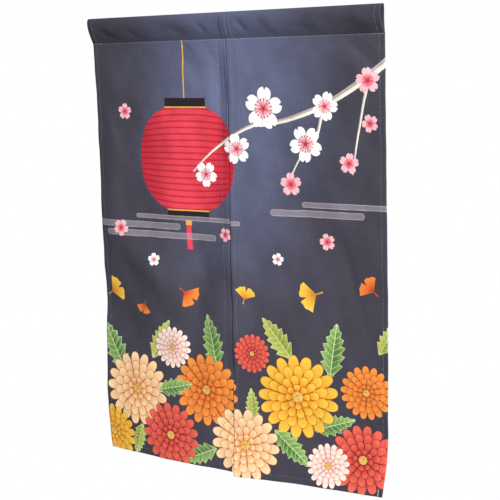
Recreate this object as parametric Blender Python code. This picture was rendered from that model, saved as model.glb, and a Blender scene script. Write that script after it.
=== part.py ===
"""Noren curtain: two hemmed cloth panels that hang side by side below one rod sleeve.

Metres, +Z up. X runs across the curtain, to the right as seen from the front, and the front faces -Y.
The origin is the middle of the top edge, where a rod would carry the curtain.
"""
from collections import namedtuple

import bpy
import numpy as np

# Driving sizes
WIDTH = 0.850
LENGTH = 1.200
SLEEVE_DROP = 0.065
SLIT_ACROSS = -0.003
SLIT_GAP = 0.0012
SEWN_GAP = 0.0003

# The cloth, and the hem that doubles it behind the edges
CLOTH_THICK = 0.0015
HEM_EXTRA = 0.0012
HEM_STEP = 0.003
HEM_MATCH = 1e-9
FOOT_HEM = 0.018
OUTER_HEM = 0.014
SLIT_HEM_LEFT = 0.024
SLIT_HEM_RIGHT = 0.014

# The sleeve's section along its length: a drop shape, fat near the top and closed at the seam
SLEEVE_LIP = 0.004
LIP_INSIDE_HALF = 0.0004
BULGE_PEAK = 2.598
SleeveSection = namedtuple("SleeveSection", "across lean front_bulge back_bulge")
SLEEVE_SECTIONS = (
    SleeveSection(-1.00, 0.008, 0.0130, 0.0085),
    SleeveSection(-0.55, 0.007, 0.0120, 0.0095),
    SleeveSection(-0.01, 0.006, 0.0120, 0.0100),
    SleeveSection(0.50, 0.006, 0.0125, 0.0095),
    SleeveSection(1.00, 0.007, 0.0125, 0.0085),
)
SLEEVE_FLARE_LEFT = 0.003
SLEEVE_FLARE_RIGHT = -0.001
SLEEVE_PINCH_RIGHT = 0.003
END_REACH = 6

# How each upright edge of a panel hangs: it swings at the foot, bellies between, and its corner curls
PanelEdge = namedtuple("PanelEdge", "across hem swing swing_power belly curl lean tuck drop")
LEFT_EDGE = PanelEdge(-WIDTH / 2, OUTER_HEM, 0.038, 1.5, -0.008, -0.007, 0.001, 0.010, 0.003)
SLIT_LEFT = SLIT_ACROSS - SLIT_GAP / 2
SLIT_RIGHT = SLIT_ACROSS + SLIT_GAP / 2
SLIT_EDGE_LEFT = PanelEdge(SLIT_LEFT, SLIT_HEM_LEFT, 0.030, 2.6, -0.002, 0.0, 0.0, 0.0, 0.0)
SLIT_EDGE_RIGHT = PanelEdge(SLIT_RIGHT, SLIT_HEM_RIGHT, 0.0315, 2.6, 0.002, 0.0, 0.0, 0.0, 0.011)
RIGHT_EDGE = PanelEdge(WIDTH / 2, OUTER_HEM, -0.025, 1.5, -0.008, 0.017, -0.006, -0.010, 0.0)
CURL_START = 0.85
BELLY_LEFT = 0.007
BELLY_RIGHT = -0.007
BELLY_POWER = 1.5

# The soft folds of the cloth: a rise is a ridge, a fall is a trough, turned from level by an angle
Fold = namedtuple("Fold", "across down turn half_length half_width rise")
FOLDS = (
    Fold(-0.382, 0.440, 94.0, 0.190, 0.036, 0.008),
    Fold(-0.270, 0.665, 41.0, 0.150, 0.048, 0.014),
    Fold(-0.110, 0.720, 95.0, 0.170, 0.045, -0.013),
    Fold(0.260, 0.560, 62.0, 0.260, 0.070, -0.007),
    Fold(0.150, 0.900, 110.0, 0.160, 0.070, 0.007),
    Fold(0.345, 0.130, 40.0, 0.080, 0.030, 0.005),
    Fold(-0.125, 0.110, 45.0, 0.070, 0.025, -0.004),
    Fold(-0.027, 0.200, 90.0, 0.180, 0.025, -0.0085),
    Fold(-0.003, 0.560, 88.0, 0.250, 0.028, 0.005),
    Fold(-0.372, 0.815, 46.0, 0.170, 0.055, -0.007),
)
SEAM_HOLD = 0.04

# Grid steps of the meshes
PANEL_COLUMNS = 17
PANEL_ROWS = 34
SLEEVE_COLUMNS = 25
SLEEVE_STEPS_ROUND = 14


def clear_scene():
    """Removes whatever the scene holds before the model is made."""
    for old_object in list(bpy.data.objects):
        bpy.data.objects.remove(old_object)


def cloth_material(name, colour):
    """A dull printed polyester linen in one colour."""
    material = bpy.data.materials.new(name)
    material.use_nodes = True
    shader = material.node_tree.nodes["Principled BSDF"]
    shader.inputs["Base Color"].default_value = (*colour, 1.0)
    shader.inputs["Roughness"].default_value = 0.85
    shader.inputs["Metallic"].default_value = 0.0
    return material


def face_rows(*corners):
    """Stacks four arrays of corner indices into rows of one face each."""
    return np.stack([corner.ravel() for corner in corners], axis=1)


def solid_from_skins(name, outer, inner, material, wrapped=False):
    """Closes two grids of points, an outer and an inner skin, into one solid.

    Rows run down the front and columns run to the right. In a wrapped solid the last row meets the first.
    """
    rows, columns = outer.shape[:2]
    index = np.arange(rows * columns).reshape(rows, columns)
    ring = np.vstack([index, index[:1]]) if wrapped else index
    under = rows * columns
    upper_left, lower_left = ring[:-1, :-1], ring[1:, :-1]
    lower_right, upper_right = ring[1:, 1:], ring[:-1, 1:]
    faces = [
        face_rows(upper_left, lower_left, lower_right, upper_right),
        face_rows(upper_right, lower_right, lower_left, upper_left) + under,
        face_rows(ring[1:, 0], ring[:-1, 0], ring[:-1, 0] + under, ring[1:, 0] + under),
        face_rows(ring[:-1, -1], ring[1:, -1], ring[1:, -1] + under, ring[:-1, -1] + under),
    ]
    if not wrapped:
        top, foot = index[0], index[-1]
        faces.append(face_rows(top[:-1], top[1:], top[1:] + under, top[:-1] + under))
        faces.append(face_rows(foot[1:], foot[:-1], foot[:-1] + under, foot[1:] + under))
    points = np.concatenate([outer.reshape(-1, 3), inner.reshape(-1, 3)])
    mesh = bpy.data.meshes.new(name)
    mesh.from_pydata(points.tolist(), [], np.concatenate(faces).tolist())
    mesh.materials.append(material)
    mesh.shade_smooth()
    piece = bpy.data.objects.new(name, mesh)
    bpy.context.scene.collection.objects.link(piece)
    return piece


def sleeve_section_at(across):
    """Reads lean and bulges at places across the sleeve, from -1 at its left end to 1 at its right."""
    places = [section.across for section in SLEEVE_SECTIONS]
    return [
        np.interp(across, places, [getattr(section, column) for section in SLEEVE_SECTIONS])
        for column in ("lean", "front_bulge", "back_bulge")
    ]


def sleeve_skin(inset):
    """One skin of the sleeve, set inwards from the outer one by a thickness.

    Round the section, half_turn goes from 0 at the top fold to a quarter turn at the seam on the front,
    and back up behind. The drop is the square of its sine, the bulge its sine times its squared cosine.
    """
    half_turn = np.linspace(0.0, np.pi / 2, SLEEVE_STEPS_ROUND)
    half_turn = np.concatenate([half_turn, -half_turn[:0:-1]])[:, None]
    across = np.linspace(-1.0, 1.0, SLEEVE_COLUMNS)[None, :]
    lean, front_bulge, back_bulge = sleeve_section_at(across)
    fall = np.sin(half_turn) ** 2
    lip = SLEEVE_LIP if inset else 0.0
    down = inset + fall * (SLEEVE_DROP - lip - inset)
    bulge = np.where(half_turn > 0.0, front_bulge, back_bulge) - inset
    seam_half = LIP_INSIDE_HALF if inset else CLOTH_THICK
    forward = lean * (1.0 - down / SLEEVE_DROP)
    forward = forward + bulge * BULGE_PEAK * np.sin(half_turn) * np.cos(half_turn) ** 2
    forward = forward + seam_half * np.sin(half_turn) ** 3
    near_end = np.abs(across) ** END_REACH
    flare = np.where(across < 0.0, SLEEVE_FLARE_LEFT, SLEEVE_FLARE_RIGHT) * (1.0 - fall) * near_end
    pinch = np.where(across < 0.0, 0.0, SLEEVE_PINCH_RIGHT) * np.sin(np.pi * fall) * near_end
    sideways = across * WIDTH / 2 + np.sign(across) * (flare - pinch)
    return np.stack(np.broadcast_arrays(sideways, -forward, -down), axis=2)


def build_heading(material):
    """The rod sleeve: the cloth turned over at the top and sewn down, open at both ends."""
    return solid_from_skins("heading", sleeve_skin(0.0), sleeve_skin(CLOTH_THICK), material, wrapped=True)


def edge_forward(edge, fall):
    """How far an upright edge stands forward at a fall from 0 at the seam to 1 at the foot."""
    curl = np.clip((fall - CURL_START) / (1.0 - CURL_START), 0.0, 1.0) ** 2
    return edge.swing * fall ** edge.swing_power + edge.belly * np.sin(np.pi * fall) + edge.curl * curl


def edge_across(edge, fall):
    """Where an upright edge lies across the curtain: it leans and its lower corner tucks in."""
    tuck = np.clip((fall - CURL_START) / (1.0 - CURL_START), 0.0, 1.0) ** 2
    return edge.across + edge.lean * fall + edge.tuck * tuck


def fold_rise(across, down):
    """Sum of the soft folds: each is a bell curve along its line and across it."""
    rise = np.zeros(np.broadcast(across, down).shape)
    for fold in FOLDS:
        turn = np.radians(fold.turn)
        along = (across - fold.across) * np.cos(turn) + (down - fold.down) * np.sin(turn)
        aside = (down - fold.down) * np.cos(turn) - (across - fold.across) * np.sin(turn)
        rise = rise + fold.rise * np.exp(-(along / fold.half_length) ** 2 - (aside / fold.half_width) ** 2)
    return rise


def grid_places(length, count, near_hem, far_hem):
    """Places from 0 to 1 with a pair of lines at the inner side of each hem, and even steps between."""
    start = near_hem + HEM_STEP if near_hem else 0.0
    places = list(np.linspace(start, length - far_hem - HEM_STEP, count))
    if near_hem:
        places = [0.0, near_hem] + places
    return np.array(places + [length - far_hem, length]) / length


def build_panel(name, left, right, belly, material):
    """One hanging panel between its left and right edges, as a sheet with a thicker hem on three sides."""
    width = right.across - left.across
    height = LENGTH - SLEEVE_DROP - SEWN_GAP
    share = grid_places(width, PANEL_COLUMNS, left.hem, right.hem)[None, :]
    fall = grid_places(height, PANEL_ROWS, 0.0, FOOT_HEM)[:, None]
    flat_across = left.across + share * width
    drop = left.drop + (right.drop - left.drop) * share
    across = edge_across(left, fall) * (1.0 - share) + edge_across(right, fall) * share
    forward = edge_forward(left, fall) * (1.0 - share) + edge_forward(right, fall) * share
    forward = forward + belly * np.sin(np.pi * share) * fall ** BELLY_POWER
    hold = 1.0 - np.exp(-fall / SEAM_HOLD)
    forward = forward + hold * fold_rise(flat_across, SLEEVE_DROP + fall * height)
    down = fall * (height + drop)
    in_left_hem = share * width <= left.hem + HEM_MATCH
    in_right_hem = (1.0 - share) * width <= right.hem + HEM_MATCH
    in_foot_hem = (1.0 - fall) * height <= FOOT_HEM + HEM_MATCH
    thick = CLOTH_THICK + HEM_EXTRA * (in_left_hem | in_right_hem | in_foot_hem)
    front = forward + CLOTH_THICK / 2
    outer = np.stack(np.broadcast_arrays(across, -front, -down), axis=2)
    inner = np.stack(np.broadcast_arrays(across, thick - front, -down), axis=2)
    panel = solid_from_skins(name, outer, inner, material)
    panel.location = (0.0, 0.0, -SLEEVE_DROP - SEWN_GAP)
    return panel


clear_scene()
PRINTED_CLOTH = cloth_material("printed cloth", (0.085, 0.088, 0.125))
build_heading(PRINTED_CLOTH)
build_panel("panel_left", LEFT_EDGE, SLIT_EDGE_LEFT, BELLY_LEFT, PRINTED_CLOTH)
build_panel("panel_right", SLIT_EDGE_RIGHT, RIGHT_EDGE, BELLY_RIGHT, PRINTED_CLOTH)
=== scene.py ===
"""Noren curtain, dressed: printed cloth, stitching, soft light and the photograph's camera.

Metres, +Z up, front towards -Y, origin at the middle of the top edge, as in the frame.
"""
from collections import namedtuple

import bpy
import numpy as np
from mathutils import Matrix, Vector


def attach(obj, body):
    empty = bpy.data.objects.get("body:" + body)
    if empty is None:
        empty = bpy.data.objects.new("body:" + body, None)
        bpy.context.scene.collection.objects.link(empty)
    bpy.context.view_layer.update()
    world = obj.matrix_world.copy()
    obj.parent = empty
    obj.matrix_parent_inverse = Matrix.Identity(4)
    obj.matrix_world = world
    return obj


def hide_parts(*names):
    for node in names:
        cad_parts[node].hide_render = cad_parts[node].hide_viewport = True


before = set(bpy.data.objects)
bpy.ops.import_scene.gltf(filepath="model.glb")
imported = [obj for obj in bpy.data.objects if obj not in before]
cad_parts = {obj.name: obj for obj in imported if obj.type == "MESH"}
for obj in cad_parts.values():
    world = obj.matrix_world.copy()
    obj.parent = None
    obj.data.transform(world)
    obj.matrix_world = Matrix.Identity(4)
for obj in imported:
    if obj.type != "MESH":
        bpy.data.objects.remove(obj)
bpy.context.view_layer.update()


# The camera stands to the right of the front, a little over the middle of the curtain, and looks down on it.
# Its place, turn, dip and roll were fitted to the outline in the photograph.
CAMERA_PLACE = (1.356, -2.130, -0.094)
CAMERA_TURN = np.radians(31.51)
CAMERA_DIP = np.radians(11.34)
CAMERA_ROLL = np.radians(-1.75)
CAMERA_LENS = 71.8
SENSOR_WIDTH = 36.0

camera_data = bpy.data.cameras.new("photograph_camera")
camera_data.lens = CAMERA_LENS
camera_data.sensor_width = SENSOR_WIDTH
camera = bpy.data.objects.new("photograph_camera", camera_data)
bpy.context.scene.collection.objects.link(camera)
camera.matrix_world = (
    Matrix.Translation(CAMERA_PLACE)
    @ Matrix.Rotation(CAMERA_TURN, 4, "Z")
    @ Matrix.Rotation(np.pi / 2 - CAMERA_DIP, 4, "X")
    @ Matrix.Rotation(CAMERA_ROLL, 4, "Z")
)
bpy.context.scene.camera = camera


# The two hanging panels: polyester linen, printed flat, hemmed on three sides and sewn below the sleeve.
# Each hangs from the seam with its own swing, belly and curled corner. A slit parts them to the foot.
WIDTH = 0.850
LENGTH = 1.200
SLEEVE_DROP = 0.065
SLIT_ACROSS = -0.003
SLIT_GAP = 0.0004
OUTER_HEM = 0.014
SLIT_HEM_LEFT = 0.024
SLIT_HEM_RIGHT = 0.014
FOOT_HEM = 0.018
FRONT_FACE = 0.00075
CLOTH_THICK = 0.0009
HEM_EXTRA = 0.0010
HEM_MATCH = 1e-6
CURL_START = 0.85
BELLY_POWER = 1.5
SEAM_HOLD = 0.04

PanelEdge = namedtuple("PanelEdge", "across hem swing swing_power belly curl lean tuck drop")
SLIT_LEFT = SLIT_ACROSS - SLIT_GAP / 2
SLIT_RIGHT = SLIT_ACROSS + SLIT_GAP / 2
LEFT_EDGE = PanelEdge(-WIDTH / 2, OUTER_HEM, 0.038, 1.5, -0.008, -0.007, 0.001, 0.010, 0.003)
SLIT_EDGE_LEFT = PanelEdge(SLIT_LEFT, SLIT_HEM_LEFT, 0.030, 2.6, -0.002, 0.0, 0.0, 0.0, 0.0)
SLIT_EDGE_RIGHT = PanelEdge(SLIT_RIGHT, SLIT_HEM_RIGHT, 0.0315, 2.6, -0.001, 0.0, 0.0, 0.0, 0.011)
RIGHT_EDGE = PanelEdge(WIDTH / 2, OUTER_HEM, -0.025, 1.5, -0.008, 0.017, -0.006, -0.010, 0.0)

Fold = namedtuple("Fold", "across down turn half_length half_width rise")
MAIN_FOLDS = (
    Fold(-0.382, 0.440, 94.0, 0.190, 0.036, 0.008),
    Fold(-0.270, 0.665, 41.0, 0.150, 0.048, 0.014),
    Fold(-0.110, 0.720, 95.0, 0.170, 0.045, -0.013),
    Fold(0.260, 0.560, 62.0, 0.260, 0.070, -0.007),
    Fold(0.150, 0.900, 110.0, 0.160, 0.070, 0.007),
    Fold(0.345, 0.130, 40.0, 0.080, 0.030, 0.005),
    Fold(-0.125, 0.110, 45.0, 0.070, 0.025, -0.004),
    Fold(-0.027, 0.200, 90.0, 0.180, 0.025, -0.0085),
    Fold(-0.003, 0.560, 88.0, 0.250, 0.028, 0.005),
    Fold(-0.372, 0.815, 46.0, 0.170, 0.055, -0.007),
)
# Finer creases, where the cloth was folded away and where the seam and hems draw it in
CREASES = (
    Fold(-0.124, 0.083, 36.0, 0.026, 0.006, -0.0016),
    Fold(-0.055, 0.095, 60.0, 0.030, 0.007, -0.0012),
    Fold(-0.029, 0.170, 91.0, 0.120, 0.005, -0.0010),
    Fold(-0.013, 0.150, 89.0, 0.080, 0.004, -0.0010),
    Fold(0.018, 0.170, 90.0, 0.110, 0.004, -0.0008),
    Fold(0.360, 0.104, 38.0, 0.055, 0.008, -0.0020),
    Fold(0.385, 0.088, 30.0, 0.035, 0.006, 0.0012),
    Fold(0.300, 0.088, 12.0, 0.050, 0.005, -0.0010),
    Fold(0.064, 0.692, 152.0, 0.036, 0.006, -0.0016),
    Fold(0.080, 0.712, 160.0, 0.030, 0.005, 0.0008),
    Fold(-0.372, 0.300, 70.0, 0.060, 0.010, 0.0012),
    Fold(-0.300, 0.655, 150.0, 0.080, 0.012, 0.0012),
    Fold(-0.210, 0.800, 20.0, 0.070, 0.012, -0.0012),
    Fold(0.210, 0.300, 66.0, 0.120, 0.014, 0.0010),
    Fold(0.330, 0.640, 75.0, 0.100, 0.012, -0.0012),
    Fold(-0.180, 0.240, 110.0, 0.090, 0.012, -0.0010),
    Fold(0.395, 1.060, 80.0, 0.070, 0.009, 0.0016),
    Fold(-0.395, 1.080, 100.0, 0.070, 0.009, 0.0014),
)
# Long shallow waves that leave no part of the cloth dead flat, each with its heading, length and height
Wave = namedtuple("Wave", "turn length shift height")
WAVES = (
    Wave(12.0, 0.118, 0.4, 0.00060),
    Wave(71.0, 0.083, 2.1, 0.00042),
    Wave(128.0, 0.141, 4.4, 0.00075),
    Wave(160.0, 0.057, 1.3, 0.00024),
    Wave(38.0, 0.044, 3.2, 0.00014),
    Wave(104.0, 0.037, 5.1, 0.00010),
)
STITCH_INSET = 0.0015
GROOVE_WIDTH = 0.0012
GROOVE_DEPTH = 0.00025
PUCKER_LENGTH = 0.011
PUCKER_HEIGHT = 0.00022
PUCKER_WANDER = 3.0
PUCKER_WANDER_RATE = 40.0
MESH_STEP = 0.0038
HEM_STEP = 0.0026
STITCH_STEP = 0.0008
STITCH_ZONE = 0.0032
HEM_RAMP = 0.0006


def edge_forward(edge, fall):
    """How far an upright edge stands forward: swing times a power of the fall, a half sine, and a curl."""
    curl = np.clip((fall - CURL_START) / (1.0 - CURL_START), 0.0, 1.0) ** 2
    return edge.swing * fall ** edge.swing_power + edge.belly * np.sin(np.pi * fall) + edge.curl * curl


def edge_across(edge, fall):
    """Where an upright edge lies across the curtain: straight, plus a lean, plus a tuck at the corner."""
    tuck = np.clip((fall - CURL_START) / (1.0 - CURL_START), 0.0, 1.0) ** 2
    return edge.across + edge.lean * fall + edge.tuck * tuck


def fold_rise(folds, across, down):
    """Sum of the folds: each is its rise times a bell curve along its line and one across it."""
    rise = np.zeros(np.broadcast(across, down).shape)
    for fold in folds:
        turn = np.radians(fold.turn)
        along = (across - fold.across) * np.cos(turn) + (down - fold.down) * np.sin(turn)
        aside = (down - fold.down) * np.cos(turn) - (across - fold.across) * np.sin(turn)
        rise = rise + fold.rise * np.exp(-(along / fold.half_length) ** 2 - (aside / fold.half_width) ** 2)
    return rise


def wave_rise(across, down):
    """Sum of the shallow waves: each is its height times the sine of the distance along its heading."""
    rise = np.zeros(np.broadcast(across, down).shape)
    for wave in WAVES:
        turn = np.radians(wave.turn)
        along = across * np.cos(turn) + down * np.sin(turn)
        rise = rise + wave.height * np.sin(2.0 * np.pi * along / wave.length + wave.shift)
    return rise


def hem_relief(from_edge, hem, along_edge):
    """A hem's small relief: a bell-shaped groove on its stitch line, and puckers that fade away from it."""
    from_line = from_edge - (hem - STITCH_INSET)
    groove = -GROOVE_DEPTH * np.exp(-(from_line / GROOVE_WIDTH) ** 2)
    wander = PUCKER_WANDER * np.sin(PUCKER_WANDER_RATE * along_edge)
    pucker = PUCKER_HEIGHT * np.sin(2.0 * np.pi * along_edge / PUCKER_LENGTH + wander)
    return groove + pucker * np.exp(-(from_line / hem) ** 2)


Panel = namedtuple("Panel", "node left right belly")
PANELS = (
    Panel("panel_left", LEFT_EDGE, SLIT_EDGE_LEFT, 0.007),
    Panel("panel_right", SLIT_EDGE_RIGHT, RIGHT_EDGE, -0.007),
)
PANEL_HEIGHT = LENGTH - SLEEVE_DROP


def panel_front(panel, flat_across, fall):
    """The front face of a panel at flat places across and falls from 0 at the seam to 1 at the foot.

    Between its edges the cloth is their straight mix, plus a belly, the folds, the waves and hem relief.
    """
    width = panel.right.across - panel.left.across
    share = (flat_across - panel.left.across) / width
    flat_down = SLEEVE_DROP + fall * PANEL_HEIGHT
    across = edge_across(panel.left, fall) * (1.0 - share) + edge_across(panel.right, fall) * share
    forward = edge_forward(panel.left, fall) * (1.0 - share) + edge_forward(panel.right, fall) * share
    forward = forward + panel.belly * np.sin(np.pi * share) * fall ** BELLY_POWER
    held = 1.0 - np.exp(-fall / SEAM_HOLD)
    forward = forward + held * fold_rise(MAIN_FOLDS, flat_across, flat_down)
    fine_rise = fold_rise(CREASES, flat_across, flat_down) + wave_rise(flat_across, flat_down)
    forward = forward + np.sqrt(held) * fine_rise
    forward = forward + hem_relief(share * width, panel.left.hem, flat_down)
    forward = forward + hem_relief((1.0 - share) * width, panel.right.hem, flat_down)
    forward = forward + hem_relief((1.0 - fall) * PANEL_HEIGHT, FOOT_HEM, flat_across)
    drop = panel.left.drop + (panel.right.drop - panel.left.drop) * share
    down = SLEEVE_DROP + fall * (PANEL_HEIGHT + drop)
    return np.stack(np.broadcast_arrays(across, -forward - FRONT_FACE, -down), axis=-1)


def places_between(knots, steps):
    """Places from the first knot to the last, spaced evenly between knots by about the step given there."""
    stretches = []
    for start, end, step in zip(knots[:-1], knots[1:], steps):
        stretches.append(np.linspace(start, end, max(int(round((end - start) / step)), 1), endpoint=False))
    return np.append(np.concatenate(stretches), knots[-1])


def hemmed_places(length, near_hem, far_hem):
    """Places along a length: fine where its ends are hemmed, finest on a stitch line, and wide between."""
    knots = [0.0]
    steps = []
    if near_hem:
        knots += [near_hem - STITCH_ZONE, near_hem, near_hem + HEM_RAMP]
        steps += [HEM_STEP, STITCH_STEP, HEM_RAMP]
    knots += [length - far_hem - HEM_RAMP, length - far_hem, length - far_hem + STITCH_ZONE, length]
    steps += [MESH_STEP, HEM_RAMP, STITCH_STEP, HEM_STEP]
    return places_between(knots, steps)


# The print: each kind of motif has a table of its pieces, in flat cloth places, with an ink for each.
# The grid carries, for every point of the cloth, its place in the frame of the nearest motif of each kind.
Motif = namedtuple("Motif", "across down size turn ink")
BLOOMS_BACK = (
    Motif(-0.318, 1.012, 0.104, 10.0, 1),
    Motif(-0.088, 0.985, 0.098, 40.0, 0),
    Motif(0.182, 0.965, 0.112, 75.0, 2),
    Motif(0.362, 1.112, 0.092, 20.0, 3),
)
BLOOMS_FRONT = (
    Motif(-0.412, 1.150, 0.080, 5.0, 2),
    Motif(-0.205, 1.128, 0.092, 33.0, 3),
    Motif(0.030, 1.112, 0.100, 62.0, 1),
    Motif(0.268, 1.140, 0.060, 12.0, 4),
    Motif(0.368, 0.935, 0.070, 50.0, 0),
    Motif(-0.196, 0.880, 0.058, 80.0, 4),
    Motif(0.052, 0.862, 0.052, 25.0, 3),
)
LEAVES_BACK = (
    Motif(-0.395, 0.900, 0.078, 118.0, 0),
    Motif(-0.235, 0.862, 0.064, 62.0, 1),
    Motif(-0.070, 0.848, 0.072, 104.0, 0),
    Motif(0.125, 0.815, 0.066, 130.0, 1),
    Motif(0.280, 0.835, 0.072, 82.0, 0),
    Motif(0.426, 0.790, 0.050, 60.0, 1),
    Motif(0.282, 1.030, 0.060, 20.0, 0),
    Motif(0.052, 1.000, 0.046, 95.0, 1),
)
LEAVES_FRONT = (
    Motif(-0.112, 1.168, 0.062, 205.0, 0),
    Motif(0.165, 1.105, 0.066, 318.0, 0),
    Motif(-0.318, 1.158, 0.050, 250.0, 1),
    Motif(-0.188, 0.990, 0.056, 15.0, 0),
)
BLOSSOMS = (
    Motif(0.100, 0.235, 0.054, 12.0, 0),
    Motif(0.215, 0.320, 0.046, 48.0, 0),
    Motif(0.020, 0.335, 0.040, 30.0, 0),
    Motif(0.268, 0.230, 0.036, 70.0, 0),
    Motif(0.382, 0.171, 0.031, 25.0, 1),
    Motif(0.170, 0.420, 0.030, 20.0, 1),
    Motif(-0.075, 0.405, 0.034, 55.0, 0),
    Motif(0.330, 0.365, 0.026, 10.0, 1),
    Motif(0.385, 0.270, 0.022, 40.0, 1),
    Motif(-0.330, 0.245, 0.022, 15.0, 1),
    Motif(-0.355, 0.560, 0.024, 60.0, 1),
    Motif(-0.245, 0.640, 0.018, 25.0, 0),
    Motif(0.265, 0.560, 0.022, 35.0, 1),
    Motif(0.130, 0.610, 0.017, 5.0, 0),
    Motif(-0.020, 0.560, 0.019, 50.0, 1),
)
FAN_LEAVES = (
    Motif(-0.385, 0.735, 0.040, 30.0, 0),
    Motif(-0.140, 0.735, 0.036, 320.0, 1),
    Motif(0.035, 0.705, 0.030, 75.0, 0),
    Motif(0.215, 0.700, 0.042, 200.0, 0),
    Motif(0.375, 0.665, 0.034, 140.0, 1),
    Motif(-0.290, 0.780, 0.026, 250.0, 1),
)
STENCILS = {
    "blooms_back": BLOOMS_BACK,
    "blooms_front": BLOOMS_FRONT,
    "leaves_back": LEAVES_BACK,
    "leaves_front": LEAVES_FRONT,
    "blossoms": BLOSSOMS,
    "fan_leaves": FAN_LEAVES,
}
STENCIL_MARGIN = 1.6 * MESH_STEP
# Codes blend from point to point, so a motif lies only where its code is at least this
CODE_FLOOR = 0.9995

Bar = namedtuple("Bar", "start end down half_height")
MIST_BARS = (
    Bar(-0.430, -0.170, 0.548, 0.0085),
    Bar(-0.395, -0.060, 0.572, 0.0085),
    Bar(-0.300, 0.020, 0.524, 0.0060),
    Bar(0.205, 0.430, 0.470, 0.0070),
    Bar(0.120, 0.360, 0.492, 0.0085),
)
Twig = namedtuple("Twig", "start_across start_down end_across end_down bend start_half end_half")
TWIGS = (
    Twig(0.440, 0.120, 0.090, 0.275, 0.030, 0.0095, 0.0050),
    Twig(0.110, 0.265, -0.110, 0.395, -0.022, 0.0055, 0.0022),
    Twig(0.265, 0.228, 0.225, 0.345, 0.018, 0.0046, 0.0022),
    Twig(0.243, 0.306, 0.160, 0.425, -0.016, 0.0032, 0.0017),
    Twig(0.390, 0.158, 0.340, 0.385, -0.026, 0.0044, 0.0018),
)
TWIG_STEPS = 60


def stencil_places(motifs, across, down):
    """Each point's place in its nearest motif, turned and scaled to a disc of radius one, and its ink code.

    The code is one more than the ink's number on the motif and just round it, and zero elsewhere.
    """
    nearest = np.full(across.shape, np.inf)
    places = np.zeros(across.shape + (3,))
    for motif in motifs:
        turn = np.radians(motif.turn)
        sideways = (across - motif.across) / motif.size
        upwards = (motif.down - down) / motif.size
        reach = np.hypot(sideways, upwards)
        nearer = reach < nearest
        nearest = np.where(nearer, reach, nearest)
        along = sideways * np.cos(turn) + upwards * np.sin(turn)
        aside = upwards * np.cos(turn) - sideways * np.sin(turn)
        code = np.where(reach < 1.0 + STENCIL_MARGIN / motif.size, 1.0 + motif.ink, 0.0)
        places[nearer] = np.stack([along, aside, code], axis=-1)[nearer]
    return places


def mist_depth(across, down):
    """How deep a point lies inside the nearest of the round-ended bars, less than zero outside them."""
    depth = np.full(across.shape, -1.0)
    for bar in MIST_BARS:
        beyond = np.maximum(np.maximum(bar.start - across, across - bar.end), 0.0)
        depth = np.maximum(depth, bar.half_height - np.hypot(beyond, down - bar.down))
    return depth


def twig_places(across, down):
    """Each point's signed distance from the nearest twig's middle line, and the twig's half width there.

    A twig is a bowed line that gets thinner towards its end. Far from every twig the half width is zero.
    """
    nearest = np.full(across.shape, np.inf)
    aside = np.ones(across.shape)
    half_width = np.zeros(across.shape)
    for twig in TWIGS:
        run_across = twig.end_across - twig.start_across
        run_down = twig.end_down - twig.start_down
        for step in np.linspace(0.0, 1.0, TWIG_STEPS):
            off_across = across - (twig.start_across + run_across * step)
            off_down = down - (twig.start_down + run_down * step + 4.0 * twig.bend * step * (1.0 - step))
            slope_down = run_down + 4.0 * twig.bend * (1.0 - 2.0 * step)
            line_length = np.hypot(run_across, slope_down)
            half = twig.start_half + (twig.end_half - twig.start_half) * step
            reach = np.hypot(off_across, off_down)
            nearer = (reach < nearest) & (reach < half + STENCIL_MARGIN)
            nearest = np.where(nearer, reach, nearest)
            side = (off_down * run_across - off_across * slope_down) / line_length
            aside = np.where(nearer, side, aside)
            half_width = np.where(nearer, half, half_width)
    return aside, half_width


def print_attributes(flat_across, flat_down, turned_over):
    """All that the print's material reads, for the outer skin and for the inner one.

    These are flat places with the side of the cloth that shows, and every stencil. The inner skin shows the
    wrong side of the cloth, except where it is turned over.
    """
    flat_across, flat_down, turned_over = np.broadcast_arrays(flat_across, flat_down, turned_over)
    sides = (0.0 * turned_over, 1.0 - turned_over)
    brush_work = np.stack([*twig_places(flat_across, flat_down), mist_depth(flat_across, flat_down)], axis=-1)
    attributes = {
        "cloth_place": [np.stack([flat_across, flat_down, side], axis=-1) for side in sides],
        "brush_work": [brush_work] * 2,
    }
    for name, motifs in STENCILS.items():
        attributes[name] = [stencil_places(motifs, flat_across, flat_down)] * 2
    return attributes


def face_rows(grid):
    """Rows of one face each, from a grid of points: its four corners, round from the upper left one."""
    corners = (grid[:-1, :-1], grid[1:, :-1], grid[1:, 1:], grid[:-1, 1:])
    return np.stack([corner.reshape(-1, *corner.shape[2:]) for corner in corners], axis=1)


BakeArea = namedtuple("BakeArea", "left foot width height")
SIDE_BY_SIDE = (BakeArea(0.005, 0.01, 0.475, 0.98), BakeArea(0.490, 0.01, 0.475, 0.98))
STACKED = (BakeArea(0.01, 0.51, 0.95, 0.48), BakeArea(0.01, 0.01, 0.95, 0.48))
RIM_STRIP = 0.006
RIM_FOOT = 0.01
RIM_HEIGHT = 0.98
RIM_PITCH = 0.0085


def bake_places(area, columns, rows):
    """Spreads a skin's grid over its share of the bake map, from its upper left corner."""
    across = area.left + area.width * columns[None, :] + 0.0 * rows[:, None]
    up = area.foot + area.height * (1.0 - rows[:, None]) + 0.0 * columns[None, :]
    return np.stack([across, up], axis=-1)


def mesh_piece(name, points, faces, bake_map, material):
    """A smooth piece of one mesh, from its points, its faces and the map place of each face's corners."""
    mesh = bpy.data.meshes.new(name)
    mesh.from_pydata(points.reshape(-1, 3).tolist(), [], faces)
    corners = mesh.uv_layers.new(name="OFBake")
    corners.data.foreach_set("uv", np.concatenate(bake_map).astype(np.float32).ravel())
    mesh.materials.append(material)
    mesh.shade_smooth()
    piece = bpy.data.objects.new(name, mesh)
    bpy.context.scene.collection.objects.link(piece)
    return piece


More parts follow.
